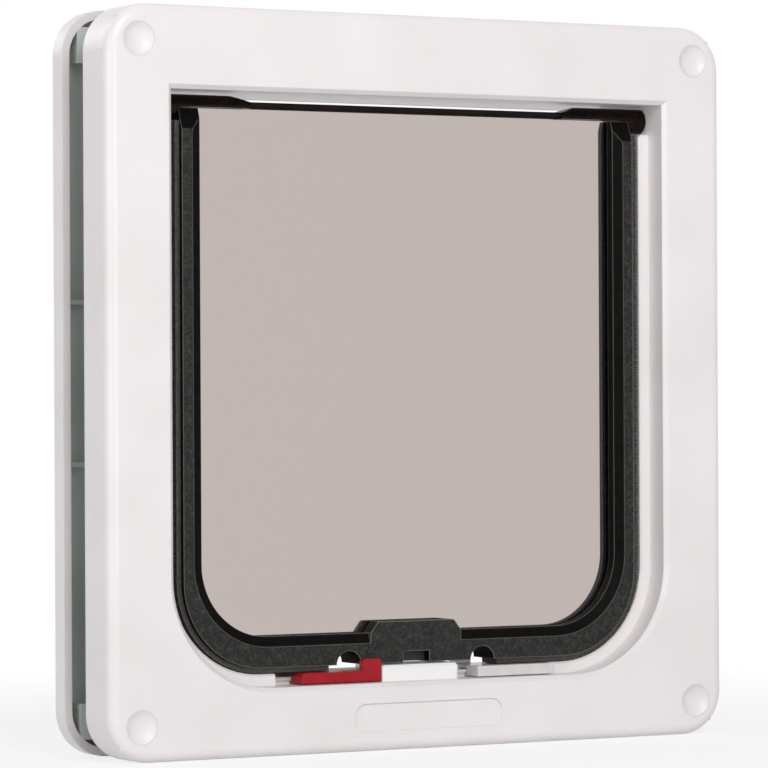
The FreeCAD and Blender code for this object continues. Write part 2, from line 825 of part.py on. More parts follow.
def make_surround():
    """The black surround: a U that grips the pane, tapered at its heads so that they can swing."""
    body = new_body("flap_surround")
    inner_half = surround_half - surround_width
    inner_floor = surround_floor + surround_sill
    inner_round = surround_inner_corner
    band = sketch_on(body, "band", "front", surround_front)
    outline(band, [
        (-surround_half, surround_top),
        (-surround_half, surround_floor, surround_corner),
        (surround_half, surround_floor, surround_corner),
        (surround_half, surround_top),
        (inner_half, surround_top),
        (inner_half, inner_floor, inner_round),
        (-inner_half, inner_floor, inner_round),
        (-inner_half, surround_top),
    ])
    pad(body, band, surround_depth)

    for place, start in (("front", surround_front), ("rear", surround_front + surround_depth)):
        mouth = sketch_on(body, f"{place}_bevel", "front", start)
        half = inner_half + surround_bevel
        floor = inner_floor - surround_bevel
        mouth_round = inner_round + surround_bevel
        high = surround_top + surround_bevel + overcut
        outline(mouth, [
            (-half, high),
            (-half, floor, mouth_round),
            (half, floor, mouth_round),
            (half, high),
        ])
        inward = place == "front"
        pocket(body, mouth, surround_bevel_depth, toward_plus=inward, inwards=surround_bevel)

    housing = sketch_on(body, "magnet_housing", "front", surround_front)
    housing_top = inner_floor + housing_rise
    outline(housing, [
        (-housing_half, surround_floor),
        (housing_half, surround_floor),
        (housing_half, inner_floor),
        (housing_top_half, housing_top, housing_round),
        (-housing_top_half, housing_top, housing_round),
        (-housing_half, inner_floor),
    ])
    pad(body, housing, surround_depth)

    slot_thickness = pane_thickness + pane_slot_clearance * 2
    slot = sketch_on(body, "pane_slot", "front", hinge_depth - slot_thickness / 2)
    half = pane_half + pane_slot_clearance
    floor = pane_floor - pane_slot_clearance
    high = surround_top + overcut
    outline(slot, [
        (-half, high),
        (-half, floor, pane_corner),
        (half, floor, pane_corner),
        (half, high),
    ])
    pocket(body, slot, slot_thickness)

    groove_start = hinge_depth - brush_width / 2
    for side in (-1, 1):
        groove = sketch_on(body, f"brush_groove_{side + 1}", "front", groove_start)
        outer_half = surround_half + overcut
        outer_floor = surround_floor - overcut
        groove_round = surround_corner - brush_groove
        brush_outline(groove, side, outer_half, outer_floor, surround_corner + overcut,
                      brush_groove, groove_round)
        pocket(body, groove, brush_width)

    notches = sketch_on(body, "catch_notches", "front", surround_front)
    for side in (-1, 1):
        circle(notches, notch_place * side, surround_floor - pane_slot_clearance, notch_radius)
    pocket(body, notches, surround_depth)

    window = sketch_on(body, "magnet_window", "front", surround_front)
    window_half = flap_magnet_half + magnet_clearance
    window_top = surround_floor + flap_magnet_inset + flap_magnet_height + magnet_clearance
    rectangle(window, -window_half, window_half, surround_floor - overcut, window_top)
    window_depth = hinge_depth + flap_magnet_depth / 2 - surround_front + magnet_clearance
    pocket(body, window, window_depth)

    for face in (-1, 1):
        taper = sketch_on(body, f"head_taper_{face + 1}", "side", -surround_half - overcut)
        full = hinge_depth + surround_depth / 2 * face
        head = hinge_depth + surround_head_depth / 2 * face
        outside = hinge_depth + (surround_depth / 2 + overcut) * face
        low = surround_top - surround_head_taper
        turn = surround_head_taper / 3
        outline(taper, [
            (full, low),
            (full, low + turn, surround_head_taper / 2),
            (head, surround_top),
            (head, surround_top + overcut),
            (outside, surround_top + overcut),
            (outside, low),
        ])
        pocket(body, taper, (surround_half + overcut) * 2)
    return body


def make_brush(name, side):
    """A pile strip: its root in the surround's groove and its tips reaching for the ledge."""
    body = new_body(name)
    pile = sketch_on(body, "pile", "front", hinge_depth - brush_width / 2 + thread_clearance)
    root_round = surround_corner - brush_groove
    tip_half = ledge_half - moving_gap
    tip_floor = ledge_floor + moving_gap
    tip_round = surround_corner + tip_half - surround_half
    brush_outline(pile, side, tip_half, tip_floor, tip_round, brush_groove, root_round)
    pad(body, pile, brush_width - thread_clearance * 2)
    return body


def make_all():
    bodies = [make_front_frame(), make_rear_frame()]
    for place, x, z in screw_places:
        bodies.append(make_screw(place, x, z))
        bodies.append(make_screw_cap(place, x, z))
    bodies.append(make_bridge())
    magnet_front = hinge_depth - magnet_depth / 2
    magnet_top = opening_floor + magnet_height
    bodies.append(make_block("frame_magnet", magnet_half, magnet_front, hinge_depth + magnet_depth / 2,
                             opening_floor, magnet_top))
    bodies.append(make_pane())
    bodies.append(make_surround())
    flap_magnet_front = hinge_depth - flap_magnet_depth / 2
    flap_magnet_low = surround_floor + flap_magnet_inset
    bodies.append(make_block("flap_magnet", flap_magnet_half, flap_magnet_front,
                             hinge_depth + flap_magnet_depth / 2, flap_magnet_low,
                             flap_magnet_low + flap_magnet_height))
    for name, side in (("left", -1), ("right", 1)):
        bodies.append(make_brush(f"draught_brush_{name}", side))
        bodies.append(make_pin(f"pivot_pin_{name}", side))
    bodies.append(make_catch("red_catch", -1, catch_inner, True))
    bodies.append(make_catch("clear_catch", 1, catch_inner + catch_travel, False))
    return bodies


def check(bodies):
    doc.recompute()
    for thing in doc.Objects:
        if "Invalid" in thing.State or "Error" in thing.State:
            raise RuntimeError(f"{thing.Name} failed: {thing.State}")
    for body in bodies:
        if body.Shape.isNull() or not body.Shape.isValid():
            raise RuntimeError(f"{body.Label} has no valid shape")
        if len(body.Shape.Solids) != 1:
            raise RuntimeError(f"{body.Label} has {len(body.Shape.Solids)} solids")


all_bodies = make_all()
check(all_bodies)
os.makedirs("parts", exist_ok=True)
for sub_part in all_bodies:
    sub_part.Shape.exportStep(f"parts/{sub_part.Label}.step")
    bounds = sub_part.Shape.BoundBox
    print(f"{sub_part.Label}: {sub_part.Shape.Volume:.1f} mm3, "
          f"X {bounds.XMin:.2f} {bounds.XMax:.2f}, Y {bounds.YMin:.2f} {bounds.YMax:.2f}, "
          f"Z {bounds.ZMin:.2f} {bounds.ZMax:.2f}")
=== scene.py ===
import math
import random

import bmesh
import bpy
from mathutils import Matrix, Vector


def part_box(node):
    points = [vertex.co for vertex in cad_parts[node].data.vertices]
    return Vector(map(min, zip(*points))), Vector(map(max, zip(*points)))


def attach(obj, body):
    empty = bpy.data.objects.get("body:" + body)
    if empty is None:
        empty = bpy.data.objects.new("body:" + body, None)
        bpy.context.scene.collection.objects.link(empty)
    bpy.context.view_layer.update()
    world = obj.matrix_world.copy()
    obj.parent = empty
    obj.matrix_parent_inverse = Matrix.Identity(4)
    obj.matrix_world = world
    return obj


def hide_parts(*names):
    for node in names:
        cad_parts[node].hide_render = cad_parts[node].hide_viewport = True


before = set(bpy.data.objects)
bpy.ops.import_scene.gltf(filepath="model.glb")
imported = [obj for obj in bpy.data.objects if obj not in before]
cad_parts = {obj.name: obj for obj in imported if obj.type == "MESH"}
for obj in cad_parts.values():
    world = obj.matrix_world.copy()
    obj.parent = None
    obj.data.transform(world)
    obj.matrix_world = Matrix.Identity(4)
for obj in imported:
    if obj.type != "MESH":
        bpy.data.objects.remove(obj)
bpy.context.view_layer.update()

MM = 0.001

# The photo's view: a long lens, level with the middle of the frame, 30 degrees to its left
PHOTO_WIDTH = 768
FOCAL_PIXELS = 4242.0
SENSOR_MM = 36.0
CAMERA_PLACE = Vector((-594.6, -1022.95, 99.1)) * MM
CAMERA_HEADING = math.radians(-30.0)
CAMERA_PITCH = math.radians(90.0675)
CAMERA_ROLL = math.radians(-0.275)

# Screw caps: a dish turned in the face of each, whose rim fills the clearance of its well
CAP_RIM_DROP = 0.03 * MM
CAP_RIM_ROUND = 0.1 * MM
CAP_DISH_DEPTH = 1.3 * MM
CAP_DISH_POWER = 3
CAP_DISH_RINGS = 20
CAP_SPREAD = 0.07 * MM
CAP_FACETS = 96
ROUND_STEPS = 5

# Screws: a cheese head over a coarse thread for plastic
HEAD_HEIGHT = 2.4 * MM
HEAD_ROUND = 0.35 * MM
SCREW_DRIVE_REACH = 2.1 * MM
SCREW_DRIVE_HALF = 0.42 * MM
SCREW_DRIVE_DEPTH = 1.3 * MM
SCREW_DRIVE_TAPER = 0.7
THREAD_PITCH = 1.25 * MM
THREAD_CREST = 1.9 * MM
THREAD_DEPTH = 0.42 * MM
THREAD_STEEPNESS = 3.2
THREAD_FACETS = 20
THREAD_STEPS = 8
TIP_LENGTH = 1.4 * MM
TIP_NARROWING = 0.6

# Draught brushes: tufts of stiff pile, standing in the groove round the surround
PILE_PITCH = 0.42 * MM
PILE_ROWS = 15
PILE_ROOT = 0.2 * MM
PILE_TIP = 0.13 * MM
PILE_LEAN = 0.07
PILE_SPREAD = 0.12 * MM
PILE_SEED = 11
SURROUND_CORNER = 23.8 * MM
GROOVE_DEPTH = 0.8 * MM
BACKING_THICKNESS = 2.2 * MM
BACKING_STRIDE = 3

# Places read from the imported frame
PIN_LOW, PIN_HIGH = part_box("pivot_pin_left")
HINGE_HEIGHT = (PIN_LOW.z + PIN_HIGH.z) / 2
SURROUND_LOW, SURROUND_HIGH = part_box("flap_surround")
FRONT_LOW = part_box("front_frame")[0]
REAR_LOW, REAR_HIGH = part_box("rear_frame")

# The frames' outer corners and rim wall, and the tunnel through them. A facet whose middle is
# within the skin of a face or wall belongs to it
FRAME_CORNER = 12.5 * MM
RIM_WALL = 2.4 * MM
TUNNEL_HALF = 78.4 * MM
TUNNEL_FLOOR = 18.6 * MM
TUNNEL_TOP = 179.5 * MM
TUNNEL_CORNER = 30.0 * MM
SKIN = 1.0 * MM

# How squarely a facet of the surround faces front or back to be grained: within 14 degrees
SQUARE_ON = 0.97

# Where the painted edge highlight starts and is full, as cosines of the turn from the flat: 3 and 13
# degrees
EDGE_HIGHLIGHT_START = 0.9985
EDGE_HIGHLIGHT_FULL = 0.975

SCREW_CORNERS = ["top_left", "top_right", "bottom_left", "bottom_right"]
FLOOR_REACH = 6.0


def hex_colour(text):
    """An sRGB hex colour as linear light."""
    parts = [int(text[i:i + 2], 16) / 255 for i in (0, 2, 4)]
    linear = [c / 12.92 if c <= 0.04045 else ((c + 0.055) / 1.055) ** 2.4 for c in parts]
    return (*linear, 1.0)


def per_metre(size_mm):
    """The texture scale at which one cell of a pattern is this many millimetres."""
    return 1.0 / (size_mm * MM)


def add_node(tree, kind, settings=None, values=None, links=None):
    """Adds a node, sets its options and socket values, and joins its inputs to other nodes."""
    made = tree.nodes.new(kind)
    for name, value in (settings or {}).items():
        setattr(made, name, value)
    for name, value in (values or {}).items():
        made.inputs[name].default_value = value
    for name, (source, output) in (links or {}).items():
        tree.links.new(source.outputs[output], made.inputs[name])
    return made


def new_material(name):
    """An empty node material and its tree, with places measured in the object's own metres."""
    material = bpy.data.materials.new(name)
    material.use_nodes = True
    tree = material.node_tree
    tree.nodes.clear()
    places = add_node(tree, "ShaderNodeTexCoord")
    return material, tree, places


def finish_surface(tree, shader):
    """Puts a shader on the material's surface."""
    output = add_node(tree, "ShaderNodeOutputMaterial")
    tree.links.new(shader.outputs[0], output.inputs["Surface"])
    return output


def mottled(tree, places, size_mm, low, high, detail=3.0):
    """Two shades of one colour that drift into each other over a cell of the given size."""
    cloud = add_node(tree, "ShaderNodeTexNoise",
                     values={"Scale": per_metre(size_mm), "Detail": detail},
                     links={"Vector": (places, "Object")})
    ramp = add_node(tree, "ShaderNodeValToRGB", links={"Fac": (cloud, "Fac")})
    ramp.color_ramp.elements[0].position = 0.3
    ramp.color_ramp.elements[0].color = hex_colour(low)
    ramp.color_ramp.elements[1].position = 0.7
    ramp.color_ramp.elements[1].color = hex_colour(high)
    return ramp


def grain(tree, places, size_mm, height_mm, edge_mm=0.0):
    """A fine bump of the given cell size and height, over edges softened by a radius."""
    cloud = add_node(tree, "ShaderNodeTexNoise",
                     values={"Scale": per_metre(size_mm), "Detail": 2.0},
                     links={"Vector": (places, "Object")})
    bump = add_node(tree, "ShaderNodeBump",
                    values={"Strength": 1.0, "Distance": height_mm * MM},
                    links={"Height": (cloud, "Fac")})
    if edge_mm:
        edge = add_node(tree, "ShaderNodeBevel", settings={"samples": 4},
                        values={"Radius": edge_mm * MM})
        tree.links.new(edge.outputs["Normal"], bump.inputs["Normal"])
    return bump


def roughness_drift(tree, places, size_mm, low, high):
    """A sheen that drifts over a cell of the given size. The range keeps to one side of 0.27,
    where a denoised render shows a false edge."""
    cloud = add_node(tree, "ShaderNodeTexNoise",
                     values={"Scale": per_metre(size_mm), "Detail": 2.0},
                     links={"Vector": (places, "Object")})
    return add_node(tree, "ShaderNodeMapRange",
                    values={"From Min": 0.3, "From Max": 0.7, "To Min": low, "To Max": high},
                    links={"Value": (cloud, "Fac")})


def moulded_abs(name, low, high, roughness, grain_height_mm, edge_mm):
    """Moulded ABS: a soft even sheen, faint clouds of shade and a grain felt more than seen.
    The real grain is about 0.1 mm; it is drawn at 0.9 mm so that it shows."""
    drift = 0.02
    material, tree, places = new_material(name)
    shade = mottled(tree, places, 24.0, low, high, 1.0)
    bump = grain(tree, places, 0.9, grain_height_mm, edge_mm)
    sheen = roughness_drift(tree, places, 9.0, roughness - drift, roughness + drift)
    shader = add_node(tree, "ShaderNodeBsdfPrincipled",
                      values={"IOR": 1.53, "Subsurface Weight": 0.06, "Subsurface Scale": 0.8 * MM},
                      links={"Base Color": (shade, "Color"), "Roughness": (sheen, "Result"),
                             "Normal": (bump, "Normal")})
    finish_surface(tree, shader)
    return material


def edge_mask(tree, radius_mm):
    """How near a point is to an outer edge: 0 on a flat, rising to 1 on the edge."""
    edge = add_node(tree, "ShaderNodeBevel", settings={"samples": 6},
                    values={"Radius": radius_mm * MM})
    flat = add_node(tree, "ShaderNodeNewGeometry")
    turn = add_node(tree, "ShaderNodeVectorMath", settings={"operation": "DOT_PRODUCT"})
    tree.links.new(edge.outputs["Normal"], turn.inputs[0])
    tree.links.new(flat.outputs["Normal"], turn.inputs[1])
    mask = add_node(tree, "ShaderNodeMapRange",
                    values={"From Min": EDGE_HIGHLIGHT_START, "From Max": EDGE_HIGHLIGHT_FULL, "To Min": 0.0, "To Max": 1.0},
                    links={"Value": (turn, "Value")})
    return edge, mask


def spark_textured_polypropylene():
    """Black polypropylene from a spark-eroded mould: a coarse dry grain whose peaks are painted a
    lighter grey, as flecks of painted highlight, and a painted highlight along its edges. The real
    pits are about 0.3 mm; they are drawn at 0.7 mm, under blotches of 2 mm."""
    material, tree, places = new_material("black_spark_textured_polypropylene")
    pits = add_node(tree, "ShaderNodeTexNoise",
                    values={"Scale": per_metre(0.7), "Detail": 4.0, "Roughness": 0.7},
                    links={"Vector": (places, "Object")})
    # Painted highlight: the grain's high points, where the pits noise is large, are coloured lighter
    # grey
    ramp = add_node(tree, "ShaderNodeValToRGB", links={"Fac": (pits, "Fac")})
    ramp.color_ramp.elements[0].position = 0.4
    ramp.color_ramp.elements[0].color = hex_colour("070706")
    ramp.color_ramp.elements[1].position = 0.66
    ramp.color_ramp.elements[1].color = hex_colour("3d3d39")
    blotches = mottled(tree, places, 2.0, "7c7c7a", "ffffff", 2.0)
    shaded = add_node(tree, "ShaderNodeMix", settings={"data_type": "RGBA", "blend_type": "MULTIPLY"},
                      values={"Factor": 1.0})
    tree.links.new(ramp.outputs["Color"], shaded.inputs["A"])
    tree.links.new(blotches.outputs["Color"], shaded.inputs["B"])
    # Painted highlight: a lighter colour laid along the edges, where light would catch them
    edge, painted_edge_highlight = edge_mask(tree, 0.4)
    colour = add_node(tree, "ShaderNodeMix", settings={"data_type": "RGBA"})
    tree.links.new(painted_edge_highlight.outputs["Result"], colour.inputs["Factor"])
    tree.links.new(shaded.outputs["Result"], colour.inputs["A"])
    colour.inputs["B"].default_value = hex_colour("75726b")
    bump = add_node(tree, "ShaderNodeBump", values={"Strength": 0.9, "Distance": 0.08 * MM},
                    links={"Height": (pits, "Fac"), "Normal": (edge, "Normal")})
    sheen = roughness_drift(tree, places, 1.6, 0.42, 0.62)
    shader = add_node(tree, "ShaderNodeBsdfPrincipled",
                      values={"IOR": 1.49, "Specular IOR Level": 0.28},
                      links={"Base Color": (colour, "Result"), "Roughness": (sheen, "Result"),
                             "Normal": (bump, "Normal")})
    finish_surface(tree, shader)
    return material


def polished_polypropylene():
    """The same black polypropylene where the mould was polished, round the pane's mouth and on
    the outer walls: a deeper black with a dull waxy sheen and a painted highlight along its edges."""
    material, tree, places = new_material("black_polished_polypropylene")
    shade = mottled(tree, places, 1.8, "050504", "0f0e0d", 4.0)
    # Painted highlight: a lighter colour laid along the edges, where light would catch them
    edge, painted_edge_highlight = edge_mask(tree, 0.35)
    colour = add_node(tree, "ShaderNodeMix", settings={"data_type": "RGBA"})
    tree.links.new(painted_edge_highlight.outputs["Result"], colour.inputs["Factor"])
    tree.links.new(shade.outputs["Color"], colour.inputs["A"])
    colour.inputs["B"].default_value = hex_colour("67655f")
    sheen = roughness_drift(tree, places, 2.0, 0.38, 0.5)
    shader = add_node(tree, "ShaderNodeBsdfPrincipled",
                      values={"IOR": 1.49, "Specular IOR Level": 0.04},
                      links={"Base Color": (colour, "Result"), "Roughness": (sheen, "Result"),
                             "Normal": (edge, "Normal")})
    finish_surface(tree, shader)
    return material


def smoked_acrylic():
    """Cast smoked acrylic: a clear taupe sheet 3 mm thick, with a faint waviness that bends
    reflections."""
    material, tree, places = new_material("smoked_acrylic_sheet")
    bump = grain(tree, places, 60.0, 0.02)
    sheen = roughness_drift(tree, places, 40.0, 0.015, 0.04)
    shader = add_node(tree, "ShaderNodeBsdfPrincipled",
                      values={"Base Color": (1, 1, 1, 1), "IOR": 1.49, "Transmission Weight": 1.0},
                      links={"Roughness": (sheen, "Result"), "Normal": (bump, "Normal")})
    output = finish_surface(tree, shader)
    body = add_node(tree, "ShaderNodeVolumeAbsorption",
                    values={"Color": hex_colour("956d55"), "Density": 290.0})
    tree.links.new(body.outputs["Volume"], output.inputs["Volume"])
    return material


def thick_smoked_acrylic():
    """The same acrylic where it is moulded thick, in the pivot barrels and the bead: almost black,
    partly from the tint's own depth and partly painted, the dark parts seen through it painted in
    as colour, with a brown warmth and a wet gloss."""
    material, tree, places = new_material("smoked_acrylic_thick_painted_dark")
    shade = mottled(tree, places, 5.0, "0c0503", "1f0f09")
    bump = grain(tree, places, 2.5, 0.02, 0.3)
    sheen = roughness_drift(tree, places, 4.0, 0.12, 0.24)
    shader = add_node(tree, "ShaderNodeBsdfPrincipled",
                      values={"IOR": 1.49, "Specular IOR Level": 0.12},
                      links={"Base Color": (shade, "Color"), "Roughness": (sheen, "Result"),
                             "Normal": (bump, "Normal")})
    finish_surface(tree, shader)
    return material


def pile_fibre():
    """Black siliconised pile: stiff shiny threads, each a touch lighter than the dark between."""
    material, tree, places = new_material("black_pile_fibre")
    shade = mottled(tree, places, 0.8, "1b1918", "47423e", 4.0)
    sheen = roughness_drift(tree, places, 0.9, 0.35, 0.55)
    shader = add_node(tree, "ShaderNodeBsdfPrincipled",
                      values={"IOR": 1.5, "Sheen Weight": 0.1, "Sheen Roughness": 0.4},
                      links={"Base Color": (shade, "Color"), "Roughness": (sheen, "Result")})
    finish_surface(tree, shader)
    return material


def red_acetal():
    """Red acetal, moulded and polished: a saturated colour under a clean gloss, with the
    faint streaks that the flow leaves."""
    material, tree, places = new_material("red_acetal")
    shade = mottled(tree, places, 7.0, "970c1a", "a61523")
    bump = grain(tree, places, 3.0, 0.01, 0.35)
    sheen = roughness_drift(tree, places, 5.0, 0.3, 0.42)
    shader = add_node(tree, "ShaderNodeBsdfPrincipled",
                      values={"IOR": 1.48, "Specular IOR Level": 0.25, "Subsurface Weight": 0.08,
                              "Subsurface Scale": 0.6 * MM},
                      links={"Base Color": (shade, "Color"), "Roughness": (sheen, "Result"),
                             "Normal": (bump, "Normal")})
    finish_surface(tree, shader)
    return material


def milky_polycarbonate():
    """Clear polycarbonate that has gone slightly milky: light passes through, shapes behind
    it don't."""
    material, tree, places = new_material("milky_polycarbonate")
    shade = mottled(tree, places, 4.0, "e2dedc", "efebea")
    bump = grain(tree, places, 1.2, 0.02, 0.35)
    sheen = roughness_drift(tree, places, 3.0, 0.17, 0.26)
    shader = add_node(tree, "ShaderNodeBsdfPrincipled",
                      values={"IOR": 1.585, "Transmission Weight": 0.2},
                      links={"Base Color": (shade, "Color"), "Roughness": (sheen, "Result"),
                             "Normal": (bump, "Normal")})
    finish_surface(tree, shader)
    return material


def bare_metal(name, low, high, metallic, rough_low, rough_high, grain_mm):
    """Metal with a fine grain and a drifting sheen."""
    material, tree, places = new_material(name)
    shade = mottled(tree, places, 1.5, low, high)
    bump = grain(tree, places, grain_mm, 0.01, 0.1)
    sheen = roughness_drift(tree, places, 1.0, rough_low, rough_high)
    shader = add_node(tree, "ShaderNodeBsdfPrincipled", values={"Metallic": metallic},
                      links={"Base Color": (shade, "Color"), "Roughness": (sheen, "Result"),
                             "Normal": (bump, "Normal")})
    finish_surface(tree, shader)
    return material


def dress(material, *nodes):
    """Gives CAD nodes one material in all their slots."""
    for name in nodes:
        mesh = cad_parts[name].data
        mesh.materials.clear()
        mesh.materials.append(material)


def dress_pane():
    """The sheet is clear; its barrels, its bead and all that rises above the hinge are coloured
    near-black: partly the tint's depth, partly the painted darkness of what is seen through them.
    """
    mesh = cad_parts["flap_pane"].data
    mesh.materials.clear()
    mesh.materials.append(smoked_acrylic())
    mesh.materials.append(thick_smoked_acrylic())
    slack = 0.05 * MM
    knuckle_start = SURROUND_HIGH.x + slack
    for face in mesh.polygons:
        corners = [mesh.vertices[i].co for i in face.vertices]
        above = min(corner.z for corner in corners) > HINGE_HEIGHT - slack
        knuckle = min(abs(corner.x) for corner in corners) > knuckle_start
        # Barrels, bead and all above the hinge take the near-black, partly painted dark
        face.material_index = 1 if above or knuckle else 0


def past_round(place, half, edge, corner, way):
    """How far a place is outside a rounded lower corner (way 1) or upper corner (way -1)."""
    across = abs(place.x) - (half - corner)
    along = (edge - place.z) * way + corner
    return math.hypot(across, along) - corner if across > 0 and along > 0 else 0.0


def inside_rim(place):
    """Whether a place is within the frames' outer walls."""
    half = REAR_HIGH.x - RIM_WALL
    low = REAR_LOW.z + RIM_WALL
    high = REAR_HIGH.z - RIM_WALL
    corner = FRAME_CORNER - RIM_WALL
    if abs(place.x) > half or not low < place.z < high:
        return False
    past_low = past_round(place, half, low, corner, 1)
    past_high = past_round(place, half, high, corner, -1)
    return max(past_low, past_high) <= 0


def in_tunnel(place):
    """Whether a place is in the opening that the cat goes through, or on its walls."""
    if abs(place.x) > TUNNEL_HALF + SKIN:
        return False
    if not TUNNEL_FLOOR - SKIN < place.z < TUNNEL_TOP + SKIN:
        return False
    return past_round(place, TUNNEL_HALF, TUNNEL_FLOOR, TUNNEL_CORNER, 1) < SKIN


def dress_frames():
    """White satin where a hand or an eye meets the frames, and painted shade, a dull grey, inside
    the hollows and round the outside of the sleeves, between the frames."""
    white = moulded_abs("white_satin_abs", "e8e3e2", "ede8e8", 0.3, 0.006, 0.35)
    # Painted shade: a dull grey standing for the shade that falls between the frames
    grey = moulded_abs("painted_shade_grey_abs", "bbc0bb", "c9cec9", 0.5, 0.02, 0.2)
    for name in ("front_frame", "rear_frame"):
        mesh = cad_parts[name].data
        mesh.materials.clear()
        mesh.materials.append(white)
        mesh.materials.append(grey)
        face_depth = REAR_HIGH.y if name == "rear_frame" else FRONT_LOW.y
        for face in mesh.polygons:
            middle = face.center
            seen_from_outside = abs(middle.y - face_depth) < SKIN or in_tunnel(middle)
            # Painted shade: facets within the outer walls and hidden from outside take the grey
            face.material_index = 1 if inside_rim(middle) and not seen_from_outside else 0


def dress_surround():
    """Grained on its front and rear faces, polished on its walls and the bevel round the pane."""
    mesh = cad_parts["flap_surround"].data
    mesh.materials.clear()
    mesh.materials.append(spark_textured_polypropylene())
    mesh.materials.append(polished_polypropylene())
    for face in mesh.polygons:
        face.material_index = 0 if abs(face.normal.y) > SQUARE_ON else 1


def dress_cad_nodes():
    """Gives every CAD node that stays its finish."""
    dress_frames()
    dress_pane()
    dress_surround()
    dress(red_acetal(), "red_catch")
    dress(milky_polycarbonate(), "clear_catch")
    # Polished ABS, the whitest and shiniest of the plastics
    dress(moulded_abs("white_gloss_abs", "f2f1ef", "f7f6f5", 0.22, 0.004, 0.3), "latch_bridge")
    # Ground steel has a bright, close sheen; pressed ferrite is as dull and dark as slate
    dress(bare_metal("ground_steel", "b4b4b6", "c6c6c8", 1.0, 0.18, 0.26, 0.2),
          "pivot_pin_left", "pivot_pin_right")
    dress(bare_metal("sintered_ferrite", "1d1c1c", "2b2a2a", 0.3, 0.5, 0.65, 0.3),
          "flap_magnet", "frame_magnet")


def add_piece(name, form, material, body, slot, *nodes):
    """Makes a piece of a built form, dresses it, and lets it ride in place of CAD nodes."""
    bmesh.ops.recalc_face_normals(form, faces=form.faces)
    mesh = bpy.data.meshes.new(name)
    form.to_mesh(mesh)
    form.free()
    mesh.materials.append(material)
    piece = bpy.data.objects.new(name, mesh)
    bpy.context.scene.collection.objects.link(piece)
    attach(piece, body)
    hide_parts(*nodes)


def turned(form, x, z, profile, facets):
    """Turns a profile of radii and depths about an axis through the door at x, z."""
    rings = []
    for radius, depth in profile:
        if radius == 0:
            rings.append([form.verts.new((x, depth, z))])
            continue
        angles = [2 * math.pi * i / facets for i in range(facets)]
        rings.append([form.verts.new((x + radius * math.cos(a), depth, z + radius * math.sin(a)))
                      for a in angles])
    for before, after in zip(rings, rings[1:]):
        for i in range(facets):
            following = (i + 1) % facets
            if len(before) == 1:
                corners = [before[0], after[i], after[following]]
            elif len(after) == 1:
                corners = [before[following], before[i], after[0]]
            else:
                corners = [before[i], after[i], after[following], before[following]]
            form.faces.new(corners)
    return rings


def smooth_all(form):
    """Shades a turned form as one smooth skin."""
    for face in form.faces:
        face.smooth = True


def round_edge(radius, depth, size):
    """A quarter round from the side of a turned form, at the given radius, onto its front."""
    points = []
    for i in range(ROUND_STEPS + 1):
        turn = math.pi / 2 * i / ROUND_STEPS
        points.append((radius - size + size * math.cos(turn), depth + size - size * math.sin(turn)))
    return points


def make_screw_cap(corner, material):
    """A cap pressed flush into its well, its face turned to a shallow dish."""
    node = f"screw_cap_{corner}"
    low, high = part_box(node)
    x = (low.x + high.x) / 2
    z = (low.z + high.z) / 2
    radius = (high.x - low.x) / 2 + CAP_SPREAD
    rim = FRONT_LOW.y + CAP_RIM_DROP
    profile = [(0, high.y), (radius, high.y)] + round_edge(radius, rim, CAP_RIM_ROUND)
    dish_radius = radius - CAP_RIM_ROUND
    for i in range(1, CAP_DISH_RINGS + 1):
        reach = dish_radius * (1 - i / CAP_DISH_RINGS)
        sag = CAP_DISH_DEPTH * (1 - (reach / dish_radius) ** CAP_DISH_POWER)
        profile.append((reach, rim + sag))
    form = bmesh.new()
    turned(form, x, z, profile, CAP_FACETS)
    smooth_all(form)
    add_piece(f"dished_cap_{corner}", form, material, "frame", "white_cap", node)


def make_screw(corner, material):
    """A cheese-head screw with a cross drive and a coarse thread cut to a blunt point."""
    node = f"frame_screw_{corner}"
    low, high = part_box(node)
    x = (low.x + high.x) / 2
    z = (low.z + high.z) / 2
    head_radius = (high.x - low.x) / 2
    root = THREAD_CREST - THREAD_DEPTH
    neck = low.y + HEAD_HEIGHT
    form = bmesh.new()
    profile = [(root, neck), (head_radius, neck)] + round_edge(head_radius, low.y, HEAD_ROUND)
    rings = turned(form, x, z, profile, THREAD_FACETS * 2)
    cut_cross_drive(form, rings[-1], x, z, low.y)
    rows = int((high.y - neck) / THREAD_PITCH * THREAD_STEPS)
    rings = []
    for row in range(rows + 1):
        depth = neck + (high.y - neck) * row / rows
        ring = []
        for i in range(THREAD_FACETS):
            angle = 2 * math.pi * i / THREAD_FACETS
            turn = ((depth - neck) / THREAD_PITCH - i / THREAD_FACETS) % 1.0
            height = max(0.0, 1.0 - abs(turn - 0.5) * THREAD_STEEPNESS)
            taper = min(1.0, (high.y - depth) / TIP_LENGTH * TIP_NARROWING + 1 - TIP_NARROWING)
            radius = (root + THREAD_DEPTH * height) * taper
            place = (x + radius * math.cos(angle), depth, z + radius * math.sin(angle))
            ring.append(form.verts.new(place))
        rings.append(ring)
    for before, after in zip(rings, rings[1:]):
        for i in range(THREAD_FACETS):
            following = (i + 1) % THREAD_FACETS
            form.faces.new([before[i], before[following], after[following], after[i]])
    form.faces.new(rings[0])
    form.faces.new(rings[-1])
    add_piece(f"threaded_screw_{corner}", form, material, "frame", "screw_steel", node)


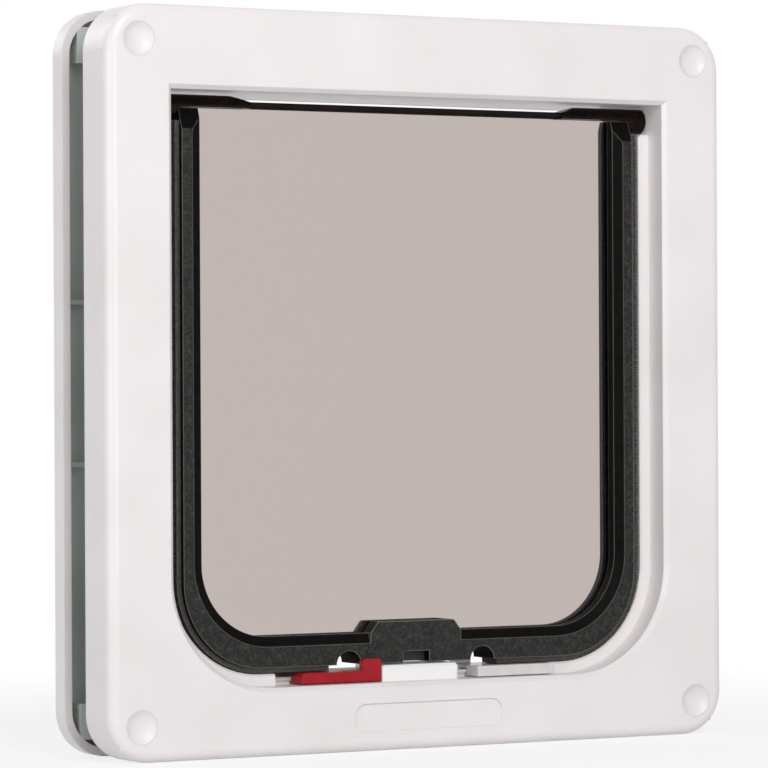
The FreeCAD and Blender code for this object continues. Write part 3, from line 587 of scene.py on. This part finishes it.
def cut_cross_drive(form, rim, x, z, face_depth):
    """Closes a screw's head with a flat face that has a cross sunk in it."""
    long = SCREW_DRIVE_REACH
    half = SCREW_DRIVE_HALF
    arm = [(long, -half), (long, half), (half, half)]
    outline = []
    for _ in range(4):
        outline += arm
        arm = [(-b, a) for a, b in arm]
    mouth = [form.verts.new((x + a, face_depth, z + b)) for a, b in outline]
    depth = face_depth + SCREW_DRIVE_DEPTH
    taper = SCREW_DRIVE_TAPER
    floor = [form.verts.new((x + a * taper, depth, z + b * taper)) for a, b in outline]
    count = len(outline)
    for i in range(count):
        following = (i + 1) % count
        form.faces.new([mouth[i], mouth[following], floor[following], floor[i]])
    form.faces.new(floor)
    ring_edges = [form.edges.get((rim[i], rim[(i + 1) % len(rim)])) for i in range(len(rim))]
    mouth_edges = [form.edges.get((mouth[i], mouth[(i + 1) % count])) for i in range(count)]
    bmesh.ops.triangle_fill(form, use_beauty=True, edges=ring_edges + mouth_edges,
                            normal=(0, -1, 0))


def pile_route(side):
    """Walks the groove of one brush: down the side, round the corner and along the sill.

    Each step gives a place in the groove's floor and the way that the pile points."""
    low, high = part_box("draught_brush_left" if side < 0 else "draught_brush_right")
    root_half = SURROUND_HIGH.x - GROOVE_DEPTH
    root_floor = SURROUND_LOW.z + GROOVE_DEPTH
    radius = SURROUND_CORNER - GROOVE_DEPTH
    centre_x = root_half - radius
    centre_z = root_floor + radius
    brush_end = min(abs(low.x), abs(high.x))
    straight = high.z - centre_z
    bend = math.pi / 2 * radius
    total = straight + bend + centre_x - brush_end
    steps = int(total / PILE_PITCH)
    for i in range(steps + 1):
        walked = total * i / steps
        if walked < straight:
            place = (root_half, high.z - walked)
            out = (1.0, 0.0)
        elif walked < straight + bend:
            angle = (walked - straight) / radius
            out = (math.cos(angle), -math.sin(angle))
            place = (centre_x + radius * out[0], centre_z + radius * out[1])
        else:
            place = (centre_x - (walked - straight - bend), root_floor)
            out = (0.0, -1.0)
        yield Vector((place[0] * side, 0, place[1])), Vector((out[0] * side, 0, out[1]))


def make_brush(side, name, material):
    """A strip of pile: rows of tapered threads that lean a little out of line."""
    node = f"draught_brush_{name}"
    low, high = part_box(node)
    length = max(high.x, -low.x) - SURROUND_HIGH.x + GROOVE_DEPTH
    dice = random.Random(PILE_SEED + side)
    form = bmesh.new()
    through = Vector((0, 1, 0))
    middle = (low.y + high.y) / 2
    width = high.y - low.y - PILE_ROOT * 2
    backing = []
    for step, (place, out) in enumerate(pile_route(side)):
        along = out.cross(through)
        if step % BACKING_STRIDE == 0:
            top = place + out * BACKING_THICKNESS
            section = [(place, low.y), (place, high.y), (top, high.y), (top, low.y)]
            backing.append([form.verts.new((spot.x, depth, spot.z)) for spot, depth in section])
        for row in range(PILE_ROWS):
            depth = middle + width * (row / (PILE_ROWS - 1) - 0.5)
            shift = along * PILE_PITCH * (dice.random() - 0.5)
            root = Vector((place.x, depth, place.z)) + shift
            lean = along * dice.uniform(-1, 1) + through * dice.uniform(-1, 1)
            reach = length - PILE_SPREAD * dice.random()
            tip = root + out * reach + lean * PILE_LEAN * length
            tip.y = min(max(tip.y, low.y), high.y)
            tip.z = min(tip.z, high.z)
            add_thread(form, root, tip, along, through)
    for before, after in zip(backing, backing[1:]):
        for i in range(4):
            following = (i + 1) % 4
            form.faces.new([before[i], before[following], after[following], after[i]])
    form.faces.new(backing[0])
    form.faces.new(backing[-1])
    add_piece(f"pile_brush_{name}", form, material, "flap", "brush_pile", node)


def add_thread(form, root, tip, along, through):
    """One three-sided thread of pile, thinner at its tip."""
    rings = []
    for centre, thick in ((root, PILE_ROOT), (tip, PILE_TIP)):
        ring = []
        for i in range(3):
            angle = 2 * math.pi * i / 3
            spoke = along * math.cos(angle) + through * math.sin(angle)
            ring.append(form.verts.new(centre + spoke * thick / 2))
        rings.append(ring)
    low, high = rings
    for i in range(3):
        following = (i + 1) % 3
        form.faces.new([low[i], low[following], high[following], high[i]])
    form.faces.new(low)
    form.faces.new(high)


def make_fine_pieces():
    """The pieces that replace CAD nodes: caps, screws and brushes."""
    # The caps' ABS comes from a duller mould than the frames'; zinc plating has a frosted shine
    cap_plastic = moulded_abs("white_cap_abs", "e6e1e0", "ebe6e6", 0.36, 0.006, 0.0)
    plated = bare_metal("zinc_plated_steel", "b9b8b2", "cfcec9", 1.0, 0.28, 0.42, 0.4)
    for corner in SCREW_CORNERS:
        make_screw_cap(corner, cap_plastic)
        make_screw(corner, plated)
    pile = pile_fibre()
    make_brush(-1, "left", pile)
    make_brush(1, "right", pile)


def make_camera():
    """The camera at the photo's viewpoint."""
    data = bpy.data.cameras.new("room_side_camera")
    data.sensor_width = SENSOR_MM
    data.lens = FOCAL_PIXELS / PHOTO_WIDTH * SENSOR_MM
    camera = bpy.data.objects.new("room_side_camera", data)
    turn = Matrix.Rotation(CAMERA_HEADING, 4, "Z") @ Matrix.Rotation(CAMERA_PITCH, 4, "X")
    roll = Matrix.Rotation(CAMERA_ROLL, 4, "Z")
    camera.matrix_world = Matrix.Translation(CAMERA_PLACE) @ turn @ roll
    bpy.context.scene.collection.objects.link(camera)
    bpy.context.scene.camera = camera


def area_light(name, place, size, power):
    """A square soft light aimed at the middle of the object."""
    data = bpy.data.lights.new(name, "AREA")
    data.shape = "SQUARE"
    data.size = size
    data.energy = power
    lamp = bpy.data.objects.new(name, data)
    lamp.location = place
    middle = Vector((0, 0, 0.1))
    lamp.rotation_euler = (middle - Vector(place)).to_track_quat("-Z", "Y").to_euler()
    bpy.context.scene.collection.objects.link(lamp)


def seen_white(tree):
    """1 for rays that should find a white background: from the camera, by reflection or through."""
    path = add_node(tree, "ShaderNodeLightPath")
    first = add_node(tree, "ShaderNodeMath", settings={"operation": "MAXIMUM"})
    tree.links.new(path.outputs["Is Camera Ray"], first.inputs[0])
    tree.links.new(path.outputs["Is Glossy Ray"], first.inputs[1])
    second = add_node(tree, "ShaderNodeMath", settings={"operation": "MAXIMUM"})
    tree.links.new(first.outputs[0], second.inputs[0])
    tree.links.new(path.outputs["Is Transmission Ray"], second.inputs[1])
    return second


def make_studio():
    """A white surround, a soft key high in front, a light from the left, and weaker ones low in
    front, above and behind."""
    world = bpy.data.worlds.new("studio")
    bpy.context.scene.world = world
    world.use_nodes = True
    tree = world.node_tree
    tree.nodes.clear()
    white = seen_white(tree)
    dim = add_node(tree, "ShaderNodeBackground",
                   values={"Color": hex_colour("fbfbff"), "Strength": 0.32})
    bright = add_node(tree, "ShaderNodeBackground", values={"Color": (1, 1, 1, 1), "Strength": 1.0})
    mix = add_node(tree, "ShaderNodeMixShader")
    tree.links.new(white.outputs[0], mix.inputs[0])
    tree.links.new(dim.outputs[0], mix.inputs[1])
    tree.links.new(bright.outputs[0], mix.inputs[2])
    output = add_node(tree, "ShaderNodeOutputWorld")
    tree.links.new(mix.outputs[0], output.inputs["Surface"])
    area_light("key", (-0.3, -1.35, 1.0), 0.7, 10.9)
    area_light("side", (-1.35, -0.75, 0.3), 0.7, 5.0)
    area_light("low_front", (0.05, -1.4, 0.14), 0.5, 3.0)
    area_light("top", (0.1, 0.1, 1.2), 0.7, 1.5)
    area_light("back", (-0.7, 1.1, 0.8), 0.8, 4.0)


def make_floor():
    """A pale floor: paint that takes the object's soft shadow close to it, and plain white,
    like the surround, further off."""
    mesh = bpy.data.meshes.new("floor")
    form = bmesh.new()
    corners = [(-1, -1), (1, -1), (1, 1), (-1, 1)]
    form.faces.new([form.verts.new((x * FLOOR_REACH, y * FLOOR_REACH, 0)) for x, y in corners])
    form.to_mesh(mesh)
    form.free()
    floor = bpy.data.objects.new("floor", mesh)
    bpy.context.scene.collection.objects.link(floor)

    material, tree, places = new_material("pale_studio_floor")
    paint = add_node(tree, "ShaderNodeBsdfDiffuse", values={"Color": hex_colour("ececec")})
    glow = add_node(tree, "ShaderNodeEmission", values={"Color": (1, 1, 1, 1), "Strength": 1.0})
    distance = add_node(tree, "ShaderNodeVectorMath", settings={"operation": "LENGTH"},
                        links={"Vector": (places, "Object")})
    share = add_node(tree, "ShaderNodeMapRange",
                     values={"From Min": 0.14, "From Max": 0.34, "To Min": 0.8, "To Max": 1.0},
                     links={"Value": (distance, "Value")})
    shine = add_node(tree, "ShaderNodeMixShader", links={"Fac": (share, "Result")})
    tree.links.new(paint.outputs[0], shine.inputs[1])
    tree.links.new(glow.outputs[0], shine.inputs[2])
    white = seen_white(tree)
    mix = add_node(tree, "ShaderNodeMixShader")
    tree.links.new(white.outputs[0], mix.inputs[0])
    tree.links.new(paint.outputs[0], mix.inputs[1])
    tree.links.new(shine.outputs[0], mix.inputs[2])
    finish_surface(tree, mix)
    mesh.materials.append(material)


make_camera()
make_studio()
make_floor()
dress_cad_nodes()
make_fine_pieces()
bpy.context.scene.view_settings.view_transform = "Standard"
